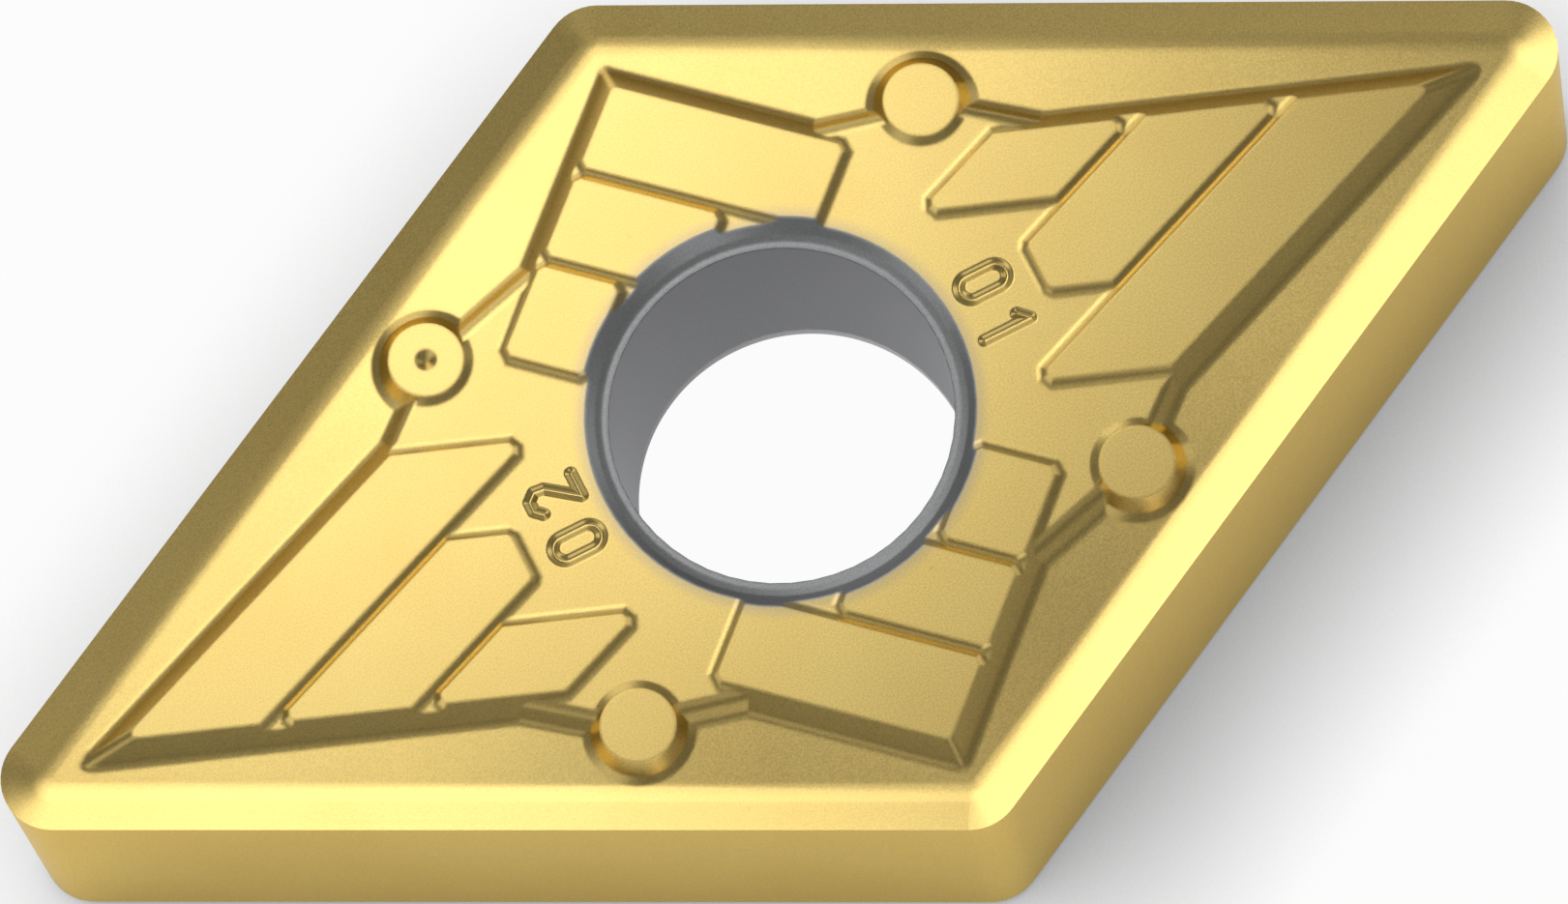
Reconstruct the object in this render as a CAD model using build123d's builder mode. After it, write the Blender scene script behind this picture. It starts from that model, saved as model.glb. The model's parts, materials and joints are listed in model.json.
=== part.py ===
from build123d import *
from math import cos, radians, sin, tan
import os

# Carbide insert: a double-sided 55 degree rhombic turning insert with a clamping hole.
# The origin is the middle of the body, on the axis of the hole.
# +X runs along the long diagonal to a cutting nose, +Y along the short diagonal, +Z out of one chip face.
# Lengths are in millimetres and angles in degrees.

# Body
inscribed_circle = 12.70
nose_angle = 55.0
nose_radius = 0.794
seat_thickness = 4.76
bore_diameter = 5.16

# Land behind the cutting edge and floor of the chip groove
land_angle = 12.4
floor_depth = 0.131
land_root_radius = 1.36

# Island in the middle of each chip face, with heights above the plane of the cutting edge
pad_height = 0.167
pad_rise = 0.082
wall_angle = 43.0
wall_root_radius = 0.20
pad_root_radius = 0.20
ridge_radius = 0.15
groove_width = 0.195

# Rows of pads behind the acute nose, from the outer row inwards, set back from the sharp corner of the rhombus
nose_row_angle = 21.0
nose_setback = 2.903
nose_row_widths = (1.347, 1.320, 1.342)
nose_row_lengths = (3.862, 2.462, 1.058)
nose_middle_reach = 6.449
nose_corner_radius = 0.11

# Rows of pads behind the obtuse corner, from the outer row inwards, set back in the same way
side_row_angle = 42.5
side_setback = 1.489
side_row_widths = (1.306, 1.255, 1.440)
side_row_lengths = (3.595, 2.237, 1.230)
side_corner_radius = 0.15

# Round posts beside the island: distance from the cutting edge, and along it from the middle of the edge
post_radius = 0.565
post_angle = 55.0
post_root_cut = 0.083
post_inset = 1.549
post_advance_a = 2.000
post_advance_b = 2.385
dimple_radius = 0.17
dimple_depth = 0.10

# Webs from the island to the posts: direction of the outward normal of each side of a web, how far inside
# the centre of its post the side passes, and the rounding of its upper edge
web_angles = (51.3, 75.4, 105.2, 129.8)
web_insets = (0.105, 0.204, 0.131, 0.166)
web_rounds = (0.30, 0.30, 0.30, 0.16)

# Rim of the clamping hole, with its ledge below the plane of the cutting edge
rim_depth = 0.079
rim_ledge_width = 0.161
rim_angle = 45.0
rim_root_cut = 0.062

# A pad's corner has one flat for each such turn of its sides
turn_per_flat = 60.0

# How far shapes that are cut or joined reach past each other
sunk = 0.3
headroom = 0.05
overrun = 0.003

# Sizes that follow from the ones above
half_nose = radians(nose_angle / 2)
edge_level = (seat_thickness - pad_height) / 2
pad_level = edge_level + pad_height
step_level = pad_level - pad_rise
floor_level = edge_level - floor_depth
rim_level = edge_level - rim_depth
rim_top = pad_level + headroom
rim_ledge_radius = bore_diameter / 2 + rim_ledge_width
rim_top_radius = rim_ledge_radius + (rim_top - rim_level) / tan(radians(rim_angle))
long_half = inscribed_circle / 2 / sin(half_nose)
short_half = inscribed_circle / 2 / cos(half_nose)
nose_apex = long_half - nose_setback
side_apex = short_half - side_setback
nose_outer = nose_apex * sin(radians(nose_row_angle))
side_outer = side_apex * cos(radians(side_row_angle))
wall_taper = 90 - wall_angle
pad_run = pad_rise / tan(radians(wall_angle))


def corner(side_a, side_b):
    """Where two sides meet. A side is the direction of its outward normal and its distance from the centre."""
    angle_a, distance_a = side_a
    angle_b, distance_b = side_b
    turn = sin(radians(angle_b - angle_a))
    x = (distance_a * sin(radians(angle_b)) - distance_b * sin(radians(angle_a))) / turn
    y = (distance_b * cos(radians(angle_a)) - distance_a * cos(radians(angle_b))) / turn
    return x, y


def outline(sides, grow):
    """Corners of the outline that the sides enclose, with each side moved out by grow."""
    moved = [(side[0], side[1] + grow) for side in sides]
    return [corner(moved[i - 1], moved[i]) for i in range(len(moved))]


def half_turn(sides):
    """The same sides, turned by half a turn about the hole."""
    return [(side[0] + 180, side[1]) for side in sides]


def blunted(sides, radius, first):
    """The sides with short flats that touch an arc of the radius at each sharp corner, from the first corner on."""
    result = []
    for i, (angle, distance) in enumerate(sides):
        result.append((angle, distance))
        next_angle, next_distance = sides[(i + 1) % len(sides)]
        turn = (next_angle - angle) % 360
        flats = int(turn // turn_per_flat) if i >= first else 0
        x, y = corner((angle, distance - radius), (next_angle, next_distance - radius))
        for k in range(flats):
            flat = angle + turn * (k + 1) / (flats + 1)
            result.append((flat, x * cos(radians(flat)) + y * sin(radians(flat)) + radius))
    return result


def pad_rows(outer_normal, far_normal, outer, widths, lengths):
    """Sides of each pad of a group of rows: outer side, far end, inner side and near end."""
    rows = []
    start = outer
    for width, length in zip(widths, lengths):
        rows.append([
            (outer_normal, start),
            (far_normal, outer),
            (outer_normal + 180, width - start),
            (far_normal + 180, length - outer),
        ])
        start -= width + groove_width
    return rows


def post_place(sign_x, advance):
    """Centre of a post on the +Y side of the insert, towards +X or -X."""
    across = inscribed_circle / 2 - post_inset
    x = across * sin(half_nose) + advance * cos(half_nose)
    y = across * cos(half_nose) - advance * sin(half_nose)
    return sign_x * x, y


def tapered(half_sides):
    """Solid inside the sides and their half turn at the pad level, spreading down to below the floor."""
    with BuildPart() as wedge:
        with BuildSketch(Plane.XY.offset(pad_level)):
            Polygon(*outline(half_sides + half_turn(half_sides), 0), align=None)
        extrude(amount=floor_level - sunk - pad_level)
        draft(wedge.faces().filter_by(Axis.Z, reverse=True), Plane.XY.offset(pad_level), wall_taper)
    return wedge.part


def pad_block(sides):
    """One pad on a wide plate at the step level, with its root rounded."""
    with BuildPart() as block:
        with BuildSketch(Plane.XY.offset(step_level)):
            Polygon(*outline(sides, pad_run + overrun), align=None)
        extrude(amount=pad_rise + headroom)
        draft(block.faces().filter_by(Axis.Z, reverse=True), Plane.XY.offset(step_level), wall_taper)
        with BuildSketch(Plane.XY.offset(step_level - sunk)):
            Rectangle(2 * long_half, 2 * short_half)
        extrude(amount=sunk)
        plate_top = block.faces().filter_by(lambda face: len(face.inner_wires()) == 1)[0]
        fillet(plate_top.inner_wires()[0].edges(), pad_root_radius)
    return block.part


def post(place, base_level):
    """A post that stands on base_level, with its root eased by a narrow slope."""
    x, y = place
    foot_radius = post_radius + (pad_level - base_level) / tan(radians(post_angle))
    with BuildPart() as body:
        with BuildSketch(Plane(origin=(x, y, 0), x_dir=(1, 0, 0), z_dir=(0, -1, 0))) as profile:
            with BuildLine():
                Polyline(
                    (0, base_level - sunk),
                    (foot_radius + post_root_cut, base_level - sunk),
                    (foot_radius + post_root_cut, base_level),
                    (foot_radius, base_level),
                    (post_radius, pad_level),
                    (0, pad_level),
                    close=True,
                )
            make_face()
            foot = profile.vertices().sort_by_distance(Vertex(foot_radius, base_level))[0]
            chamfer(foot, post_root_cut)
        revolve(axis=Axis((x, y, 0), (0, 0, 1)))
    return body.part


def both_faces(shape):
    """A shape of one chip face, with its copy for the other face, turned over about the long diagonal."""
    with BuildPart() as pair:
        add(shape)
        add(shape, rotation=(180, 0, 0))
    return pair.part


# Places of the posts, and sides of the pads, the webs and the island
post_a = post_place(1, post_advance_a)
post_b = post_place(-1, post_advance_b)
posts = [(sign * x, sign * y) for sign in (1, -1) for x, y in (post_a, post_b)]

nose_rows = pad_rows(nose_row_angle - 90, 90 - nose_row_angle, nose_outer, nose_row_widths, nose_row_lengths)
side_rows = pad_rows(90 - side_row_angle, 90 + side_row_angle, side_outer, side_row_widths, side_row_lengths)
nose_rows[1].insert(3, (180, nose_middle_reach - nose_apex))

webs_half = []
for angle, inset, (x, y) in zip(web_angles, web_insets, (post_a, post_a, post_b, post_b)):
    webs_half.append((angle, x * cos(radians(angle)) + y * sin(radians(angle)) - inset))
webs = webs_half + half_turn(webs_half)
nose_wedge = [(90 - nose_row_angle, nose_outer), (90 + nose_row_angle, nose_outer)]
side_wedge = [(90 - side_row_angle, side_outer), (90 + side_row_angle, side_outer)]
island_half = nose_wedge[:1] + webs_half[:2] + side_wedge + webs_half[2:] + nose_wedge[1:]

# Dish that leaves the land and the groove floor
with BuildSketch() as cutting_edge:
    with BuildLine():
        Polyline((long_half, 0), (0, short_half), (-long_half, 0), (0, -short_half), close=True)
    make_face()
    fillet(cutting_edge.vertices(), nose_radius)

with BuildPart() as dish:
    with BuildSketch(Plane.XY.offset(edge_level)):
        add(cutting_edge.sketch)
    extrude(amount=-floor_depth)
    draft(dish.faces().filter_by(Axis.Z, reverse=True), Plane.XY.offset(edge_level), land_angle - 90)

# Island with its four ridges rounded
with BuildPart() as island:
    add(tapered(island_half))
    slanted = island.edges().filter_by(lambda edge: abs(edge.tangent_at(0.5).Z) > 0.1)
    ends_x = slanted.sort_by(Axis.X)
    ends_y = slanted.sort_by(Axis.Y)
    fillet([ends_x[0], ends_x[-1], ends_y[0], ends_y[-1]], ridge_radius)

# Everything above the step level that the pads don't fill
pads = []
for rows, corner_radius in ((nose_rows, nose_corner_radius), (side_rows, side_corner_radius)):
    for number, sides in enumerate(rows):
        pads.append(pad_block(blunted(sides, corner_radius, 1 if number == 0 else 0)))
with BuildPart() as relief:
    with BuildSketch(Plane.XY.offset(step_level - sunk / 2)):
        Rectangle(2 * long_half - sunk, 2 * short_half - sunk)
    extrude(amount=sunk / 2 + pad_rise + headroom / 2)
    for pad in pads:
        add(pad, mode=Mode.SUBTRACT)
        add(pad, rotation=(0, 0, 180), mode=Mode.SUBTRACT)

# What the rounding takes off the upper edges of the webs
wedges = [tapered(nose_wedge), tapered(side_wedge)]
with BuildPart() as coves:
    for (angle, distance), radius in zip(webs, web_rounds + web_rounds):
        brink = distance + pad_run
        outward = (cos(radians(angle)), sin(radians(angle)), 0)
        along = (sin(radians(angle)), -cos(radians(angle)), 0)
        brink_middle = (brink * outward[0], brink * outward[1], step_level)
        tangent = radius * tan(radians(wall_angle / 2))
        start = (-tangent, 0)
        end = (tangent * cos(radians(wall_angle)), -tangent * sin(radians(wall_angle)))
        with BuildSketch(Plane(origin=brink_middle, x_dir=outward, z_dir=along)):
            with BuildLine():
                RadiusArc(start, end, radius)
                Polyline(end, (end[0] + tangent, end[1]), (end[0] + tangent, tangent), (-tangent, tangent), start)
            make_face()
        extrude(amount=short_half / 2, both=True)
    for wedge in wedges:
        add(wedge, mode=Mode.SUBTRACT)

# Posts on the floor, with skirts where they stand on the webs
high_posts = [post(place, step_level) for place in posts]
low_posts = [post(place, floor_level) for place in posts]
with BuildPart() as feet:
    add(high_posts)
    add(island.part, mode=Mode.INTERSECT)
    add(coves.part, mode=Mode.SUBTRACT)
    add(low_posts)

# Hole with a rim at both ends
with BuildPart() as hole:
    with BuildSketch(Plane.XZ) as hole_profile:
        with BuildLine():
            Polyline(
                (0, rim_top),
                (rim_top_radius, rim_top),
                (rim_ledge_radius, rim_level),
                (bore_diameter / 2, rim_level),
                (bore_diameter / 2, -rim_level),
                (rim_ledge_radius, -rim_level),
                (rim_top_radius, -rim_top),
                (0, -rim_top),
                close=True,
            )
        make_face()
        for height in (rim_level, -rim_level):
            root = hole_profile.vertices().sort_by_distance(Vertex(rim_ledge_radius, height))[0]
            chamfer(root, rim_root_cut)
    revolve(axis=Axis.Z)

# Punch that presses a dimple into one post of each chip face
with BuildPart() as dimple:
    with BuildSketch(Plane(origin=(*post_b, 0), x_dir=(1, 0, 0), z_dir=(0, -1, 0))):
        with BuildLine():
            Polyline(
                (0, pad_level - dimple_depth),
                (2 * dimple_radius, pad_level + dimple_depth),
                (0, pad_level + dimple_depth),
                close=True,
            )
        make_face()
    revolve(axis=Axis((*post_b, 0), (0, 0, 1)))

# The insert, with the same form on both chip faces
dishes = both_faces(dish.part)
islands = both_faces(island.part)
reliefs = both_faces(relief.part)
web_edges = both_faces(coves.part)
all_feet = both_faces(feet.part)
dimples = both_faces(dimple.part)
with BuildPart() as insert:
    with BuildSketch(Plane.XY.offset(-edge_level)):
        add(cutting_edge.sketch)
    extrude(amount=2 * edge_level)
    add(dishes, mode=Mode.SUBTRACT)
    fillet(insert.faces().filter_by(Axis.Z).edges(), land_root_radius)
    add(islands)
    floors = insert.faces().filter_by(lambda face: len(face.inner_wires()) == 1)
    fillet([edge for floor in floors for edge in floor.inner_wires()[0].edges()], wall_root_radius)
    add(reliefs, mode=Mode.SUBTRACT)
    add(web_edges, mode=Mode.SUBTRACT)
    add(all_feet)
    add(dimples, mode=Mode.SUBTRACT)
    add(hole.part, mode=Mode.SUBTRACT)
insert.part.label = "insert"

os.makedirs("parts", exist_ok=True)
export_step(insert.part, "parts/insert.step")
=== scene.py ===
import json
import math
from typing import NamedTuple

import bpy
from bpy.props import FloatProperty, FloatVectorProperty, PointerProperty
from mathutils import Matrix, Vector


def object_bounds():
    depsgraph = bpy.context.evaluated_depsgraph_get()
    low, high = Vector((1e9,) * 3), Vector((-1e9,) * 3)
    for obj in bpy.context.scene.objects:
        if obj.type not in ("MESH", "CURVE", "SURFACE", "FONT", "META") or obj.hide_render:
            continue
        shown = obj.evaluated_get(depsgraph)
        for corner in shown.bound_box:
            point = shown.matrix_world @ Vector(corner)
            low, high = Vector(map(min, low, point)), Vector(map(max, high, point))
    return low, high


bl_info = {
    "name": "Carbide insert",
    "version": (1, 0, 0),
    "blender": (4, 5, 0),
    "location": "3D View > Sidebar > Insert",
    "description": "Coats a rhombic carbide insert, numbers its cutting edges and lights it in a studio",
    "category": "Object",
}

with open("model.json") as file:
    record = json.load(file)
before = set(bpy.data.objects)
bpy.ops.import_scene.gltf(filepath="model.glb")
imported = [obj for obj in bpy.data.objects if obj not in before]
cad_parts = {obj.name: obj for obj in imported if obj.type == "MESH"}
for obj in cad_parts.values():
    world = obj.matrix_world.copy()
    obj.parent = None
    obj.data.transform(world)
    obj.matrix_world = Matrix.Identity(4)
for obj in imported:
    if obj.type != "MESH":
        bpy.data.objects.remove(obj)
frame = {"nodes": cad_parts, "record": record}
cad_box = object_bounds()

# Blender's unit is the metre, and sizes on the insert are written in millimetres
MM = 0.001

# Places on the insert that the frame gives
PAD_LEVEL = cad_box[1].z
MOUNTS = {mount["name"]: mount for mount in frame["record"]["mounts"]}
BORE_RADIUS = MOUNTS["clamp_hole"]["dims"]["r_mm"] * MM
LEDGE_LEVEL = MOUNTS["clamp_hole"]["dims"]["length_mm"] / 2 * MM
FLANK_NORMAL = MOUNTS["flank_pp"]["axis"]
FLANK_ALONG = (FLANK_NORMAL[1], -FLANK_NORMAL[0], 0)
INSCRIBED_RADIUS = Vector(MOUNTS["flank_pp"]["pos_m"]).dot(Vector(FLANK_NORMAL))


def linear(hex_colour):
    """Linear red, green and blue of an sRGB hex colour."""
    values = [int(hex_colour[i:i + 2], 16) / 255 for i in (1, 3, 5)]
    return tuple(v / 12.92 if v <= 0.04045 else ((v + 0.055) / 1.055) ** 2.4 for v in values)


def length(name, description, default):
    """A length property whose default is in metres."""
    return FloatProperty(
        name=name, description=description, default=default, min=0, precision=5,
        subtype="DISTANCE", unit="LENGTH",
    )


def factor(name, description, default):
    """A property between nought and one."""
    return FloatProperty(name=name, description=description, default=default, min=0, max=1, subtype="FACTOR")


def colour(name, description, hex_colour):
    """A colour property whose default is an sRGB hex colour."""
    return FloatVectorProperty(
        name=name, description=description, default=linear(hex_colour), min=0, max=1, size=3,
        subtype="COLOR",
    )


class CoatingSettings(bpy.types.PropertyGroup):
    """Titanium nitride over the whole insert, apart from the hole."""

    gold: colour("Gold", "Colour of the coating where it is thick", "#EACE7E")
    bronze: colour("Bronze", "Colour that the coating drifts to in cloudy patches", "#E8CA7A")
    freckle: colour("Freckles", "Colour of the few small freckles in the coating", "#D9AE62")
    edge_tint: colour("Edge tint", "Colour that keeps the coating gold at a flat angle", "#EBDEB8")
    roughness: factor("Roughness", "How widely the coating spreads a highlight", 0.30)
    grain_size: length("Grain size", "Width of one grain of the pressed surface", 0.028 * MM)
    grain_depth: length("Grain depth", "Height of the grains", 0.0006 * MM)
    grain_contrast: factor("Grain contrast", "Difference in brightness between light and dark grains", 0.24)
    cloud_size: length("Cloud size", "Width of the cloudy patches in the coating", 2.2 * MM)
    freckle_cell: length("Freckle cell", "Width of the space that holds one freckle, in depth too", 0.9 * MM)
    edge_round: length("Edge rounding", "Radius to which tumbling rounds the edges of the island", 0.07 * MM)
    floor_drop: length("Floor drop", "Distance from the pads down to the groove's floor", 0.298 * MM)
    floor_fall: factor("Floor fall", "Slope at which the groove's floor falls away from the island", 0.035)
    floor_length: length("Floor length", "Distance from a side's middle to the level floor", 5.5 * MM)


class CarbideSettings(bpy.types.PropertyGroup):
    """Bare cemented carbide in the hole and on its rim."""

    grey: colour("Grey", "Colour of the bare carbide on the rim", "#AEAFB0")
    # Painted shade round the hole's rim: the coating greys and darkens towards it
    rim_shade: colour("Haze", "Colour to which the coating thins out beside the rim", "#A8A095")
    # Inside the bore the carbide is darker: duller sintered skin and painted shade of the hole
    bore_skin_and_shade: colour("Dull grey", "Colour of the sintered skin inside the bore", "#656669")
    roughness: factor("Roughness", "How widely the bare carbide spreads a highlight", 0.45)
    ledge_width: length("Ledge width", "Width of the ledge between the bore and the rim's slope", 0.161 * MM)
    # Width of the band of painted shade round the rim
    rim_shade_width: length("Fade width", "Width of the band round the rim where the coating thins", 0.26 * MM)


class NumeralSettings(bpy.types.PropertyGroup):
    """Plain numerals pressed into the insert, one number beside each cutting nose."""

    reach: length("Reach", "Distance from the axis of the hole to the middle of a number", 3.56 * MM)
    height: length("Height", "Height of a digit, between the middles of its strokes", 0.76 * MM)
    pitch: length("Pitch", "Distance between the middles of two digits", 0.80 * MM)
    stroke: length("Stroke width", "Width of the groove that draws a digit", 0.22 * MM)
    depth: length("Depth", "Depth of the groove", 0.062 * MM)
    plateau_drop: length("Plateau drop", "Distance from the pads down to the numbered surface", 0.082 * MM)


class StudioSettings(bpy.types.PropertyGroup):
    """Plain floor, low backdrop, room light and soft lamps."""

    floor: colour("Floor", "Colour of the floor and the backdrop", "#F4F4F2")
    floor_glow: factor("Floor glow", "Share of the floor's brightness that comes from behind it", 0.96)
    # Within this reach of the insert the floor's glow darkens as a painted soft shadow
    painted_shadow_reach: length("Contact reach", "How far from the insert the floor still darkens", 3.5 * MM)
    backdrop_radius: length("Backdrop radius", "Distance from the insert to the low backdrop", 0.5)
    backdrop_height: length("Backdrop height", "Height of the backdrop", 0.06)
    sky: colour("Room", "Colour of the light from the room", "#6C6C6C")
    power: FloatProperty(
        name="Power", description="Factor on the power of every lamp", default=1.0, min=0, subtype="FACTOR"
    )


# Kinds of node that the materials use often
MATH = "ShaderNodeMath"
VECTOR_MATH = "ShaderNodeVectorMath"
MAP_RANGE = "ShaderNodeMapRange"
MIX = "ShaderNodeMix"
NOISE = "ShaderNodeTexNoise"

# Places of a mix node's two inputs and of its result, for vectors and for colours
VECTOR_A, VECTOR_B, VECTOR_RESULT = 4, 5, 1
COLOUR_A, COLOUR_B, COLOUR_RESULT = 6, 7, 2

# Most of a noise texture's values lie between these two
NOISE_LOW, NOISE_HIGH = 0.3, 0.7


def add_node(tree, kind, inputs=(), **settings):
    """Adds a node with its settings, gives its inputs their values or links, and returns its outputs."""
    node = tree.nodes.new(kind)
    for name, value in settings.items():
        setattr(node, name, value)
    keyed_inputs = inputs if isinstance(inputs, dict) else dict(enumerate(inputs))
    for key, value in keyed_inputs.items():
        if isinstance(value, bpy.types.NodeSocket):
            tree.links.new(value, node.inputs[key])
        else:
            node.inputs[key].default_value = value
    return node.outputs


def new_material(name):
    """An empty node material and its tree."""
    material = bpy.data.materials.new(name)
    material.use_nodes = True
    material.node_tree.nodes.clear()
    return material, material.node_tree


def radius_from_axis(tree, place):
    """Distance of a place from the axis of the hole."""
    flat_place = add_node(tree, VECTOR_MATH, [place, (1, 1, 0)], operation="MULTIPLY")[0]
    return add_node(tree, VECTOR_MATH, [flat_place], operation="LENGTH")["Value"]


def arc(x, y, radius, start, end, pieces):
    """Points on an arc, with its angles in degrees."""
    angles = [math.radians(start + (end - start) * i / pieces) for i in range(pieces + 1)]
    return [(x + radius * math.cos(angle), y + radius * math.sin(angle)) for angle in angles]


# Strokes of each digit in a box that is one high, with the origin in its middle
DIGIT_STROKES = {
    1: [(-0.17, 0.30), (0.03, 0.5), (0.03, -0.5)],
    2: arc(0, 0.24, 0.26, 160, -30, 4) + [(-0.25, -0.5), (0.27, -0.5)],
    3: arc(-0.02, 0.255, 0.245, 140, -80, 4) + arc(-0.02, -0.235, 0.265, 70, -140, 4),
    4: [(0.14, -0.5), (0.14, 0.5), (-0.27, -0.2), (0.30, -0.2)],
}

# A nought is a ring of this radius, drawn out to the height of the box
NOUGHT_RADIUS = 0.25

# Last digits of the numbers beside the right nose and the left nose, on the underside and on the upper face
LAST_DIGITS = ((3, 4), (1, 2))

# A surface counts as the plateau when its level is this near to the plateau's
PLATEAU_TOLERANCE = 0.01 * MM


def stroke_distance(tree, place, start, end):
    """Distance from a place in a digit's box to the straight stroke between two points."""
    run = Vector((*end, 0)) - Vector((*start, 0))
    offset = add_node(tree, VECTOR_MATH, [place, (*start, 0)], operation="SUBTRACT")[0]
    share = add_node(tree, VECTOR_MATH, [offset, run / run.length_squared], operation="DOT_PRODUCT")["Value"]
    share_on_stroke = add_node(tree, "ShaderNodeClamp", [share])[0]
    nearest = add_node(tree, VECTOR_MATH, {0: run, "Scale": share_on_stroke}, operation="SCALE")[0]
    return add_node(tree, VECTOR_MATH, [offset, nearest], operation="DISTANCE")["Value"]


def digit_distance(tree, place, digit):
    """Distance from a place in a digit's box to the middle of the digit's strokes."""
    if digit == 0:
        half_spine = 0.5 - NOUGHT_RADIUS
        from_spine = stroke_distance(tree, place, (0, -half_spine), (0, half_spine))
        from_ring = add_node(tree, MATH, [from_spine, NOUGHT_RADIUS], operation="SUBTRACT")[0]
        return add_node(tree, MATH, [from_ring], operation="ABSOLUTE")[0]
    points = DIGIT_STROKES[digit]
    distance = stroke_distance(tree, place, points[0], points[1])
    for start, end in zip(points[1:], points[2:]):
        from_stroke = stroke_distance(tree, place, start, end)
        distance = add_node(tree, MATH, [distance, from_stroke], operation="MINIMUM")[0]
    return distance


def numeral_depth(tree, x, y, z, numerals):
    """Depth of the numerals' grooves in metres: 01 and 02 on the upper face, 03 and 04 on the underside."""
    # Place in a digit's box, whose top is towards the nose on either side and either face
    side = add_node(tree, MATH, [x], operation="SIGN")[0]
    face = add_node(tree, MATH, [z], operation="SIGN")[0]
    reach = add_node(tree, MATH, [x], operation="ABSOLUTE")[0]
    towards_nose = add_node(tree, MATH, [reach, numerals.reach], operation="SUBTRACT")[0]
    up = add_node(tree, MATH, [towards_nose, numerals.height], operation="DIVIDE")[0]
    handedness = add_node(tree, MATH, [side, face], operation="MULTIPLY")[0]
    leftward = add_node(tree, MATH, [handedness, y], operation="MULTIPLY")[0]
    across = add_node(tree, MATH, [leftward, -numerals.height], operation="DIVIDE")[0]
    half_pitch = numerals.pitch / numerals.height / 2
    across_first = add_node(tree, MATH, [across, half_pitch], operation="ADD")[0]
    across_last = add_node(tree, MATH, [across, half_pitch], operation="SUBTRACT")[0]
    first = add_node(tree, "ShaderNodeCombineXYZ", [across_first, up])[0]
    last = add_node(tree, "ShaderNodeCombineXYZ", [across_last, up])[0]

    # Distance to the nearest stroke, each number with its own last digit
    on_right = add_node(tree, MATH, [x, 0], operation="GREATER_THAN")[0]
    on_top = add_node(tree, MATH, [z, 0], operation="GREATER_THAN")[0]
    underside, upper_face = [
        add_node(tree, MIX, {
            "Factor": on_right,
            "A": digit_distance(tree, last, left_digit),
            "B": digit_distance(tree, last, right_digit),
        })[0]
        for right_digit, left_digit in LAST_DIGITS
    ]
    from_last = add_node(tree, MIX, {"Factor": on_top, "A": underside, "B": upper_face})[0]
    from_first = digit_distance(tree, first, 0)
    distance = add_node(tree, MATH, [from_first, from_last], operation="MINIMUM")[0]

    # A groove shaped like one wave of a cosine
    half_stroke = numerals.stroke / numerals.height / 2
    angle = add_node(tree, MAP_RANGE, {"Value": distance, "From Max": half_stroke, "To Max": math.pi})[0]
    wave = add_node(tree, MATH, [angle], operation="COSINE")[0]
    profile = add_node(tree, MATH, [wave, 0.5, 0.5], operation="MULTIPLY_ADD")[0]

    # Only the plateau is numbered, and not the pads
    height = add_node(tree, MATH, [z], operation="ABSOLUTE")[0]
    above = add_node(tree, MATH, [height, PAD_LEVEL - numerals.plateau_drop], operation="SUBTRACT")[0]
    off_plateau = add_node(tree, MATH, [above], operation="ABSOLUTE")[0]
    on_plateau = add_node(tree, MATH, [off_plateau, PLATEAU_TOLERANCE], operation="LESS_THAN")[0]
    groove = add_node(tree, MATH, [profile, on_plateau], operation="MULTIPLY")[0]
    return add_node(tree, MATH, [groove, numerals.depth], operation="MULTIPLY")[0]


# The rounding of edges sets in between these distances from the cutting edge, which stays sharp
ROUNDING_FROM = 0.55 * MM
ROUNDING_TO = 0.70 * MM

# The lean of the groove's floor fades out between these distances off its level
LEAN_FROM = 0.005 * MM
LEAN_TO = 0.05 * MM


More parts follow.
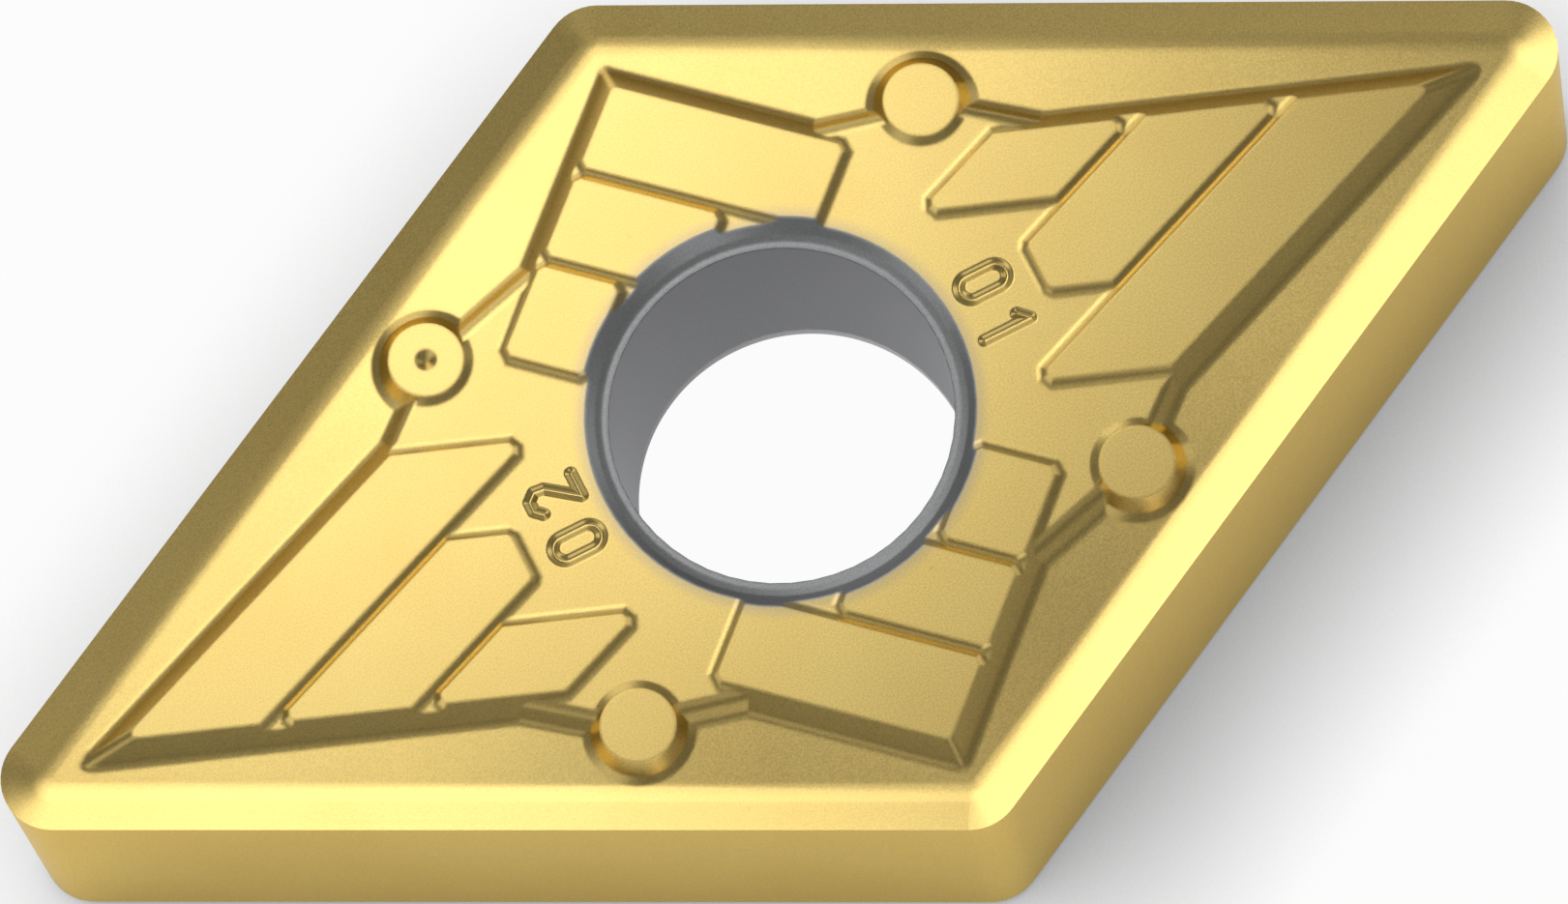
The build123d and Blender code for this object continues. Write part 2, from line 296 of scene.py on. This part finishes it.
def softened_normal(tree, place, x, y, height, coating):
    """Normal with the island's edges rounded and the groove's floor falling away from the island."""
    # All four sides are treated as the one at the right back
    mirrored = add_node(tree, VECTOR_MATH, [place], operation="ABSOLUTE")[0]
    from_axis = add_node(tree, VECTOR_MATH, [mirrored, FLANK_NORMAL], operation="DOT_PRODUCT")["Value"]
    inset = add_node(tree, MATH, [INSCRIBED_RADIUS, from_axis], operation="SUBTRACT")[0]
    within = add_node(tree, MAP_RANGE, {
        "Value": inset, "From Min": ROUNDING_FROM, "From Max": ROUNDING_TO,
    })[0]
    as_made = add_node(tree, "ShaderNodeNewGeometry")["Normal"]
    rounded = add_node(tree, "ShaderNodeBevel", {"Radius": coating.edge_round}, samples=2)[0]
    normal = add_node(tree, MIX, {
        "Factor": within, VECTOR_A: as_made, VECTOR_B: rounded,
    }, data_type="VECTOR")[VECTOR_RESULT]

    floor_level = PAD_LEVEL - coating.floor_drop
    above_floor = add_node(tree, MATH, [height, floor_level], operation="SUBTRACT")[0]
    off_floor = add_node(tree, MATH, [above_floor], operation="ABSOLUTE")[0]
    on_floor = add_node(tree, MAP_RANGE, {
        "Value": off_floor, "From Min": LEAN_FROM, "From Max": LEAN_TO, "To Min": 1.0, "To Max": 0.0,
    })[0]
    along_side = add_node(tree, VECTOR_MATH, [mirrored, FLANK_ALONG], operation="DOT_PRODUCT")["Value"]
    from_middle = add_node(tree, MATH, [along_side], operation="ABSOLUTE")[0]
    share = add_node(tree, MAP_RANGE, {
        "Value": from_middle, "From Max": coating.floor_length, "To Min": 1.0, "To Max": 0.0,
    })[0]
    floor_share = add_node(tree, MATH, [on_floor, share], operation="MULTIPLY")[0]
    slope = add_node(tree, MATH, [floor_share, coating.floor_fall], operation="MULTIPLY")[0]
    side_x = add_node(tree, MATH, [x], operation="SIGN")[0]
    side_y = add_node(tree, MATH, [y], operation="SIGN")[0]
    sides = add_node(tree, "ShaderNodeCombineXYZ", [side_x, side_y])[0]
    outward = add_node(tree, VECTOR_MATH, [sides, FLANK_NORMAL], operation="MULTIPLY")[0]
    lean = add_node(tree, VECTOR_MATH, {0: outward, "Scale": slope}, operation="SCALE")[0]
    leaning = add_node(tree, VECTOR_MATH, [normal, lean], operation="ADD")[0]
    return add_node(tree, VECTOR_MATH, [leaning], operation="NORMALIZE")[0]


# Range of the cloud pattern over which the gold turns to bronze
CLOUD_FROM = 0.35
CLOUD_TO = 0.65

# Radii of a freckle's core and of its rim as shares of its cell, and how strongly its core is coloured
FRECKLE_CORE = 0.02
FRECKLE_RIM = 0.06
FRECKLE_STRENGTH = 0.4


def gold_colour(tree, place, grain, coating):
    """Gold with faint cloudy patches, a few freckles and light and dark grains."""
    clouds = add_node(tree, NOISE, {
        "Vector": place, "Scale": 1 / coating.cloud_size, "Detail": 2.0, "Roughness": 0.5,
    })[0]
    cloud_share = add_node(tree, MAP_RANGE, {
        "Value": clouds, "From Min": CLOUD_FROM, "From Max": CLOUD_TO,
    })[0]
    clouded = add_node(tree, MIX, {
        "Factor": cloud_share, COLOUR_A: (*coating.gold, 1), COLOUR_B: (*coating.bronze, 1),
    }, data_type="RGBA")[COLOUR_RESULT]
    from_spot = add_node(tree, "ShaderNodeTexVoronoi", {
        "Vector": place, "Scale": 1 / coating.freckle_cell, "Randomness": 1.0,
    })["Distance"]
    freckle_share = add_node(tree, MAP_RANGE, {
        "Value": from_spot, "From Min": FRECKLE_CORE, "From Max": FRECKLE_RIM,
        "To Min": FRECKLE_STRENGTH, "To Max": 0.0,
    }, interpolation_type="SMOOTHSTEP")[0]
    freckled = add_node(tree, MIX, {
        "Factor": freckle_share, COLOUR_A: clouded, COLOUR_B: (*coating.freckle, 1),
    }, data_type="RGBA")[COLOUR_RESULT]
    tone = add_node(tree, MAP_RANGE, {
        "Value": grain, "From Min": NOISE_LOW, "From Max": NOISE_HIGH,
        "To Min": 1 - coating.grain_contrast / 2, "To Max": 1 + coating.grain_contrast / 2,
    })[0]
    return add_node(tree, MIX, {
        "Factor": 1.0, COLOUR_A: freckled, COLOUR_B: tone,
    }, data_type="RGBA", blend_type="MULTIPLY")[COLOUR_RESULT]


# The bore's duller skin and its painted shade end between these two distances outside its wall
SKIN_AND_SHADE_FROM = 0.001 * MM
SKIN_AND_SHADE_TO = 0.004 * MM

# Brightness of the carbide's dark and light grains
DARK_GRAIN = 0.86
LIGHT_GRAIN = 1.10


def grey_colour(tree, radius, grain, carbide):
    """Grey carbide, darker inside the bore with duller skin and painted shade, with dark and light grains.
    """
    # Darker inside the bore, as duller skin and as painted shade of the hole
    past_skin_and_shade = add_node(tree, MAP_RANGE, {
        "Value": radius, "From Min": BORE_RADIUS + SKIN_AND_SHADE_FROM, "From Max": BORE_RADIUS + SKIN_AND_SHADE_TO,
    })[0]
    plain = add_node(tree, MIX, {
        "Factor": past_skin_and_shade, COLOUR_A: (*carbide.bore_skin_and_shade, 1), COLOUR_B: (*carbide.grey, 1),
    }, data_type="RGBA")[COLOUR_RESULT]
    tone = add_node(tree, MAP_RANGE, {
        "Value": grain, "From Min": NOISE_LOW, "From Max": NOISE_HIGH,
        "To Min": DARK_GRAIN, "To Max": LIGHT_GRAIN,
    })[0]
    return add_node(tree, MIX, {
        "Factor": 1.0, COLOUR_A: plain, COLOUR_B: tone,
    }, data_type="RGBA", blend_type="MULTIPLY")[COLOUR_RESULT]


# Distances outside the rim between which the coating sets in
COATING_FROM = 0.004 * MM
COATING_TO = 0.03 * MM

# How strongly the painted shade greys and darkens the coating at the rim
SHADE_AT_RIM = 0.45

# How much rougher or smoother a grain of the coating is than the whole
ROUGHNESS_SPREAD = 0.02


def coated_carbide(coating, carbide, numerals):
    """Cemented carbide, pressed and sintered, with a vapour-deposited titanium nitride coating.

    The coating gives a satin yellow gold with a fine even grain, greyed by painted shade next to the
    rim of the hole. It ends at the rim of the hole, where the carbide is bare: grey with the same fine
    grain, and darker inside the bore, with duller skin and painted shade.
    """
    material, tree = new_material("titanium_nitride_on_cemented_carbide")
    place = add_node(tree, "ShaderNodeTexCoord")["Object"]
    x, y, z = add_node(tree, "ShaderNodeSeparateXYZ", [place])
    height = add_node(tree, MATH, [z], operation="ABSOLUTE")[0]
    radius = radius_from_axis(tree, place)

    # Distance outside the rim: nought on its 45 degree slope, and negative inside the hole
    ledge_radius = BORE_RADIUS + carbide.ledge_width
    slope_foot = add_node(tree, MATH, [radius, height], operation="SUBTRACT")[0]
    beyond_slope = add_node(tree, MATH, [slope_foot, ledge_radius - LEDGE_LEVEL], operation="SUBTRACT")[0]
    beyond_ledge = add_node(tree, MATH, [radius, ledge_radius], operation="SUBTRACT")[0]
    beyond_rim = add_node(tree, MATH, [beyond_slope, beyond_ledge], operation="MINIMUM")[0]
    bare = add_node(tree, MAP_RANGE, {
        "Value": beyond_rim, "From Min": COATING_FROM, "From Max": COATING_TO,
        "To Min": 1.0, "To Max": 0.0,
    }, interpolation_type="SMOOTHSTEP")[0]
    # Painted shade greys and darkens the coating in a band round the hole's rim
    rim_shade_share = add_node(tree, MAP_RANGE, {
        "Value": beyond_rim, "From Max": carbide.rim_shade_width, "To Min": SHADE_AT_RIM, "To Max": 0.0,
    }, interpolation_type="SMOOTHSTEP")[0]

    # Grains of about a micrometre are too fine to show and are drawn about 28 times as coarse
    grain = add_node(tree, NOISE, {
        "Vector": place, "Scale": 1 / coating.grain_size, "Detail": 1.0, "Roughness": 0.6,
    })[0]
    coated = add_node(tree, MIX, {
        "Factor": rim_shade_share, COLOUR_A: gold_colour(tree, place, grain, coating), COLOUR_B: (*carbide.rim_shade, 1),
    }, data_type="RGBA")[COLOUR_RESULT]
    base = add_node(tree, MIX, {
        "Factor": bare, COLOUR_A: coated, COLOUR_B: grey_colour(tree, radius, grain, carbide),
    }, data_type="RGBA")[COLOUR_RESULT]
    grain_roughness = add_node(tree, MAP_RANGE, {
        "Value": grain, "From Min": NOISE_LOW, "From Max": NOISE_HIGH,
        "To Min": coating.roughness - ROUGHNESS_SPREAD, "To Max": coating.roughness + ROUGHNESS_SPREAD,
    })[0]
    roughness = add_node(tree, MIX, {"Factor": bare, "A": grain_roughness, "B": carbide.roughness})[0]
    edge_tint = add_node(tree, MIX, {
        "Factor": bare, COLOUR_A: (*coating.edge_tint, 1), COLOUR_B: (1, 1, 1, 1),
    }, data_type="RGBA")[COLOUR_RESULT]

    # The grains stand up and the numerals are pressed in
    grain_height = add_node(tree, MATH, [grain, coating.grain_depth], operation="MULTIPLY")[0]
    groove = numeral_depth(tree, x, y, z, numerals)
    relief = add_node(tree, MATH, [grain_height, groove], operation="SUBTRACT")[0]
    normal = add_node(tree, "ShaderNodeBump", {
        "Height": relief, "Distance": 1.0, "Strength": 1.0,
        "Normal": softened_normal(tree, place, x, y, height, coating),
    })[0]
    surface = add_node(tree, "ShaderNodeBsdfPrincipled", {
        "Base Color": base, "Metallic": 1.0, "Roughness": roughness,
        "Specular Tint": edge_tint, "Normal": normal,
    })[0]
    add_node(tree, "ShaderNodeOutputMaterial", {"Surface": surface})
    return material


# Size of the paper's fibres, and how bright the darkest of them are
FIBRE_SIZE = 2 * MM
DARK_FIBRE = 0.985

# How far the direction from which the painted shadow is cast leans from straight up
PAINTED_SHADOW_LEAN = (-0.21, 0.15, 0)


def studio_paper(studio):
    """Matt white background paper, lit from behind so that it stays near white, with a painted soft shadow
    darkening it near the insert.
    """
    material, tree = new_material("matt_background_paper")
    fibre = add_node(tree, NOISE, {"Scale": 1 / FIBRE_SIZE, "Detail": 2.0})[0]
    tone = add_node(tree, MAP_RANGE, {
        "Value": fibre, "From Min": NOISE_LOW, "From Max": NOISE_HIGH, "To Min": DARK_FIBRE, "To Max": 1.0,
    })[0]
    white = add_node(tree, MIX, {
        "Factor": 1.0, COLOUR_A: (*studio.floor, 1), COLOUR_B: tone,
    }, data_type="RGBA", blend_type="MULTIPLY")[COLOUR_RESULT]
    matt = add_node(tree, "ShaderNodeBsdfDiffuse", {"Color": white})[0]

    # Painted soft shadow: the glow darkens near the insert, leaned to the front right as if cast by the key
    # behind and the fill to the left
    upright = add_node(tree, "ShaderNodeNewGeometry")["Normal"]
    leaning = add_node(tree, VECTOR_MATH, [upright, PAINTED_SHADOW_LEAN], operation="ADD")[0]
    painted_shadow_direction = add_node(tree, VECTOR_MATH, [leaning], operation="NORMALIZE")[0]
    painted_shadow_factor = add_node(tree, "ShaderNodeAmbientOcclusion", {
        "Distance": studio.painted_shadow_reach, "Normal": painted_shadow_direction,
    }, samples=4)["AO"]

    # The paper that shows through the hole gets no painted shadow and stays white
    place = add_node(tree, "ShaderNodeTexCoord")["Object"]
    radius = radius_from_axis(tree, place)
    under_hole = add_node(tree, MATH, [radius, BORE_RADIUS], operation="LESS_THAN")[0]
    brightness = add_node(tree, MATH, [painted_shadow_factor, under_hole], operation="MAXIMUM")[0]
    glow = add_node(tree, "ShaderNodeEmission", {"Color": (1, 1, 1, 1), "Strength": brightness})[0]

    # The camera, reflections and clear materials see the glow with its painted shadow, and matt ones see
    # plain paper
    rays = add_node(tree, "ShaderNodeLightPath")
    seen = add_node(tree, MATH, [rays["Is Camera Ray"], rays["Is Glossy Ray"]], operation="MAXIMUM")[0]
    seen_through = add_node(tree, MATH, [seen, rays["Is Transmission Ray"]], operation="MAXIMUM")[0]
    glow_share = add_node(tree, MATH, [seen_through, studio.floor_glow], operation="MULTIPLY")[0]
    surface = add_node(tree, "ShaderNodeMixShader", [glow_share, matt, glow])[0]
    add_node(tree, "ShaderNodeOutputMaterial", {"Surface": surface})
    return material


class INSERT_OT_coat(bpy.types.Operator):
    """Coat the insert, leave its hole bare and press a number beside each nose"""

    bl_idname = "insert.coat"
    bl_label = "Coat the insert"
    bl_options = {"REGISTER", "UNDO"}

    def execute(self, context):
        body = frame["nodes"].get("insert")
        if body is None:
            raise RuntimeError("The insert is missing from the frame")
        scene = context.scene
        finish = coated_carbide(scene.insert_coating, scene.insert_carbide, scene.insert_numerals)
        body.data.materials.clear()
        body.data.materials.append(finish)
        return {"FINISHED"}


class Lamp(NamedTuple):
    """A soft round lamp that points at the middle of the insert.

    Its tilt from straight up and its direction round the hole from +X are in degrees, its distance
    and width in metres and its power in watts.
    """

    name: str
    tilt: float
    around: float
    distance: float
    width: float
    power: float


# A broad key from behind lights the pads and the near lands
# Two fills light what leans to the left and to the front
LAMPS = [
    Lamp("key", tilt=30, around=96, distance=0.075, width=0.045, power=0.0110),
    Lamp("left_fill", tilt=45, around=200, distance=0.110, width=0.060, power=0.0050),
    Lamp("front_fill", tilt=15, around=270, distance=0.110, width=0.050, power=0.0025),
]

# Four like lamps, low on each side, light the flanks and the walls
SKIRT_SIDES = {"skirt_right": 0, "skirt_back": 90, "skirt_left": 180, "skirt_front": 270}
LAMPS += [
    Lamp(name, tilt=70, around=around, distance=0.110, width=0.060, power=0.008)
    for name, around in SKIRT_SIDES.items()
]

# The floor lies a hundredth of a millimetre below the pads, so that no two faces share a plane
FLOOR_GAP = 0.01 * MM

# Straight pieces in the paper's round edge and in the bend at its foot
PAPER_SEGMENTS = 96
BEND_PIECES = 12

# The photograph's camera, from the insert's outline and hole
# Its turn is in degrees, and its lens and sensor are in millimetres
CAMERA_PLACE = (-8.379 * MM, -53.225 * MM, 186.876 * MM)
CAMERA_TURN = (15.345, 4.958, -26.285)
CAMERA_LENS = 297.94
SENSOR_WIDTH = 36
NEAREST_SEEN = 10 * MM


class INSERT_OT_set_studio(bpy.types.Operator):
    """Set up the floor, the backdrop, the lamps, the room light and the camera"""

    bl_idname = "insert.set_studio"
    bl_label = "Set up the studio"
    bl_options = {"REGISTER", "UNDO"}

    def execute(self, context):
        studio = context.scene.insert_studio
        self.add_paper(context, studio)
        for lamp in LAMPS:
            self.add_lamp(context, lamp, studio)
        self.add_room(context, studio)
        self.add_camera(context)
        context.scene.view_settings.view_transform = "Standard"
        return {"FINISHED"}

    def add_paper(self, context, studio):
        """One sheet of paper: a round floor that turns up into a low wall."""
        bend = studio.backdrop_height / 2
        floor_level = cad_box[0].z - FLOOR_GAP
        profile = arc(studio.backdrop_radius - bend, floor_level + bend, bend, -90, 0, BEND_PIECES)
        profile.append((studio.backdrop_radius, floor_level + studio.backdrop_height))
        vertices = [(0.0, 0.0, floor_level)]
        for radius, level in profile:
            for k in range(PAPER_SEGMENTS):
                angle = 2 * math.pi * k / PAPER_SEGMENTS
                vertices.append((radius * math.cos(angle), radius * math.sin(angle), level))
        faces = [(0, 1 + k, 1 + (k + 1) % PAPER_SEGMENTS) for k in range(PAPER_SEGMENTS)]
        for ring in range(len(profile) - 1):
            inner = 1 + ring * PAPER_SEGMENTS
            outer = inner + PAPER_SEGMENTS
            for k in range(PAPER_SEGMENTS):
                after = (k + 1) % PAPER_SEGMENTS
                faces.append((inner + k, outer + k, outer + after, inner + after))
        mesh = bpy.data.meshes.new("paper")
        mesh.from_pydata(vertices, [], faces)
        mesh.shade_smooth()
        mesh.materials.append(studio_paper(studio))
        paper = bpy.data.objects.new("paper", mesh)
        context.scene.collection.objects.link(paper)

    def add_lamp(self, context, lamp, studio):
        """One lamp, which the camera doesn't see."""
        tilt = math.radians(lamp.tilt)
        around = math.radians(lamp.around)
        sideways = math.sin(tilt)
        direction = Vector((sideways * math.cos(around), sideways * math.sin(around), math.cos(tilt)))
        light = bpy.data.lights.new(lamp.name, "AREA")
        light.shape = "DISK"
        light.size = lamp.width
        light.energy = lamp.power * studio.power
        lamp_object = bpy.data.objects.new(lamp.name, light)
        lamp_object.location = direction * lamp.distance
        lamp_object.rotation_euler = direction.to_track_quat("Z", "Y").to_euler()
        lamp_object.visible_camera = False
        context.scene.collection.objects.link(lamp_object)

    def add_room(self, context, studio):
        """Even light from the room."""
        world = bpy.data.worlds.new("room")
        world.use_nodes = True
        world.node_tree.nodes["Background"].inputs["Color"].default_value = (*studio.sky, 1)
        context.scene.world = world

    def add_camera(self, context):
        """The camera, at the photograph's angle and distance."""
        data = bpy.data.cameras.new("camera")
        data.sensor_width = SENSOR_WIDTH
        data.lens = CAMERA_LENS
        data.clip_start = NEAREST_SEEN
        camera = bpy.data.objects.new("camera", data)
        camera.location = CAMERA_PLACE
        camera.rotation_euler = [math.radians(angle) for angle in CAMERA_TURN]
        context.scene.collection.objects.link(camera)
        context.scene.camera = camera


class INSERT_PT_panel(bpy.types.Panel):
    """Settings and steps of the carbide insert"""

    bl_idname = "INSERT_PT_panel"
    bl_label = "Carbide insert"
    bl_space_type = "VIEW_3D"
    bl_region_type = "UI"
    bl_category = "Insert"

    def draw(self, context):
        for name, settings_type in SETTINGS.items():
            box = self.layout.box()
            box.label(text=settings_type.__doc__)
            for key in settings_type.__annotations__:
                box.prop(getattr(context.scene, name), key)
        for operator in OPERATORS:
            self.layout.operator(operator.bl_idname)


SETTINGS = {
    "insert_coating": CoatingSettings,
    "insert_carbide": CarbideSettings,
    "insert_numerals": NumeralSettings,
    "insert_studio": StudioSettings,
}
OPERATORS = (INSERT_OT_coat, INSERT_OT_set_studio)


def register():
    """Registers the settings, the operators and the panel."""
    for cls in (*SETTINGS.values(), *OPERATORS, INSERT_PT_panel):
        bpy.utils.register_class(cls)
    for name, settings_type in SETTINGS.items():
        setattr(bpy.types.Scene, name, PointerProperty(type=settings_type))


def unregister():
    """Removes what register added."""
    for name in SETTINGS:
        delattr(bpy.types.Scene, name)
    for cls in (INSERT_PT_panel, *OPERATORS, *SETTINGS.values()):
        bpy.utils.unregister_class(cls)


def main():
    """Builds the whole scene."""
    register()
    bpy.ops.insert.coat()
    bpy.ops.insert.set_studio()


if __name__ == "__main__":
    main()
